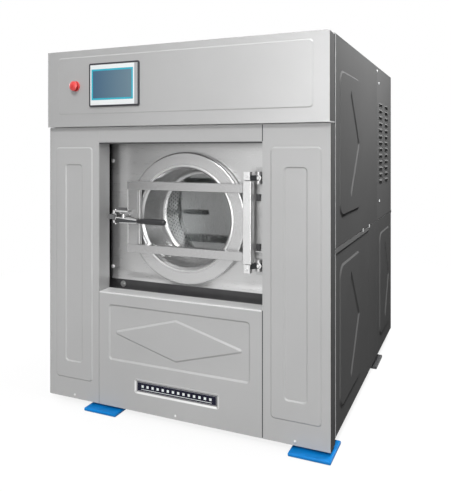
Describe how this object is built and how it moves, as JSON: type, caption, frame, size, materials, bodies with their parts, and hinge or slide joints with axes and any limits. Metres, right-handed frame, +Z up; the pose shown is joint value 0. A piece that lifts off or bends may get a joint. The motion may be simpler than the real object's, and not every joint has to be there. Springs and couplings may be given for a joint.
{
  "type": "industrial washing machine",
  "caption": "Front-loading industrial washer-extractor: steel cabinet, suspended tub, driven drum, round door on a yoke with link hinge and fork latch, operator panel and stop button.",
  "frame": {"origin": "bottom centre of the bounding box, on the floor", "axes": "+Z up, +Y from the door front to the back, +X to the right seen from the front"},
  "size_m": [1.4, 1.704, 1.667],
  "materials": {
    "front_steel": "brushed stainless sheet, light",
    "side_steel": "dark grey sheet",
    "louvre_steel": "dark grey sheet",
    "frame_paint": "dark painted steel",
    "blue_pad": "blue plastic pad",
    "black_rubber": "black rubber",
    "black_plate": "bare black plate",
    "hmi_plastic": "dark bezel",
    "hmi_glass": "display behind clear cover",
    "chrome_trim": "bright turned steel",
    "stem_plastic": "dark plastic",
    "red_plastic": "red plastic",
    "zinc_steel": "zinc plated steel",
    "brass": "brass",
    "grey_plastic": "grey pipe plastic",
    "black_plastic": "black plastic",
    "dark_steel": "dark painted steel",
    "tub_steel": "stainless sheet",
    "cast_iron": "cast iron",
    "hinge_steel": "machined stainless steel",
    "yoke_steel": "polished stainless tube",
    "ring_steel": "spun stainless ring",
    "glass": "clear door glass",
    "drum_steel": "stainless drum",
    "shaft_steel": "ground steel shaft",
    "motor_paint": "painted motor housing"
  },
  "bodies": {
    "cabinet": {"base_rails": "frame_paint", "corner_posts": "frame_paint", "foot_pads_front": "blue_pad", "foot_pads_rear": "black_rubber", "fascia_panel": "front_steel", "left_pillar_panel": "front_steel", "right_pillar_panel": "front_steel", "header_panel": "front_steel", "lower_front_panel": "front_steel", "nameplate": "black_plate", "hmi_bezel": "hmi_plastic", "hmi_screen": "hmi_glass", "estop_collar": "red_plastic", "left_upper_panel": "side_steel", "right_upper_panel": "side_steel", "left_lower_panel": "side_steel", "right_lower_panel": "side_steel", "louvre_panels": "louvre_steel", "rear_corner_panels": "side_steel", "side_lower_strips": "side_steel", "top_panel": "side_steel", "rear_upper_panel": "louvre_steel", "rear_lower_panel": "louvre_steel", "water_inlets": "brass", "drain_outlet": "grey_plastic", "cable_gland": "black_plastic", "air_springs": "black_rubber", "damper_bodies": "dark_steel"},
    "tub": {"tub_mouth": "tub_steel", "tub_front_head": "tub_steel", "tub_shell": "tub_steel", "tub_front_plate": "tub_steel", "tub_back_head": "tub_steel", "bearing_housing": "cast_iron", "tub_cradle": "dark_steel", "damper_rods": "zinc_steel", "latch_keeper": "dark_steel", "hinge_bracket": "hinge_steel", "tub_apron": "black_rubber", "motor_body": "motor_paint", "drive_belts": "black_rubber"},
    "drum": {"drum_shell": "drum_steel", "drum_front_ring": "drum_steel", "drum_back_plate": "drum_steel", "drum_lifters": "drum_steel", "drum_shaft": "shaft_steel", "drum_pulley": "cast_iron"},
    "motor_rotor": {"motor_pulley": "cast_iron"},
    "hinge_link": {"hinge_links": "hinge_steel"},
    "door": {"yoke_bars": "yoke_steel", "yoke_hinge_bar": "yoke_steel", "yoke_latch_plate": "yoke_steel", "door_ring": "ring_steel", "door_glass": "glass", "door_gasket": "black_rubber"},
    "door_handle": {"handle_lever": "chrome_trim", "handle_grip": "black_plastic"},
    "roller": {"latch_roller": "chrome_trim"},
    "estop_plunger": {"estop_stem": "stem_plastic"},
    "estop_mushroom": {"estop_head": "red_plastic"}
  },
  "joints": [
    {"name": "tub_float", "type": "slide", "parent": "cabinet", "child": "tub", "axis": [0, 0, 1], "range_m": [-0.012, 0.012], "stiffness_N_per_m": 400000, "springref_m": 0.0215, "deforming": ["air_springs"]},
    {"name": "drum_spin", "type": "hinge", "parent": "tub", "child": "drum", "pos_m": [0, 0.294, 0.893], "axis": [0, 1, 0], "continuous": true},
    {"name": "motor_spin", "type": "hinge", "parent": "tub", "child": "motor_rotor", "pos_m": [0, 0.494, 0.52], "axis": [0, 1, 0], "continuous": true},
    {"name": "link_swing", "type": "hinge", "parent": "tub", "child": "hinge_link", "pos_m": [0.352, -0.708, 0.893], "axis": [0, 0, 1], "range_deg": [0, 25]},
    {"name": "door_swing", "type": "hinge", "parent": "hinge_link", "child": "door", "pos_m": [0.319, -0.745, 0.893], "axis": [0, 0, 1], "range_deg": [0, 100]},
    {"name": "latch_turn", "type": "hinge", "parent": "door", "child": "door_handle", "pos_m": [-0.292, -0.772, 0.892], "axis": [0, 0, -1], "range_deg": [0, 60]},
    {"name": "roller_spin", "type": "hinge", "parent": "door_handle", "child": "roller", "pos_m": [-0.336, -0.772, 0.892], "axis": [0, 0, 1], "continuous": true},
    {"name": "estop_press", "type": "slide", "parent": "cabinet", "child": "estop_plunger", "axis": [0, 1, 0], "range_m": [0, 0.006], "stiffness_N_per_m": 900, "springref_m": -0.001},
    {"name": "estop_twist", "type": "hinge", "parent": "estop_plunger", "child": "estop_mushroom", "pos_m": [-0.522, -0.846, 1.497], "axis": [0, 1, 0], "range_deg": [0, 45], "stiffness_Nm_per_rad": 0.05}
  ],
  "couplings": [
    {"joint": "motor_spin", "follows": "drum_spin", "ratio": 4}
  ]
}
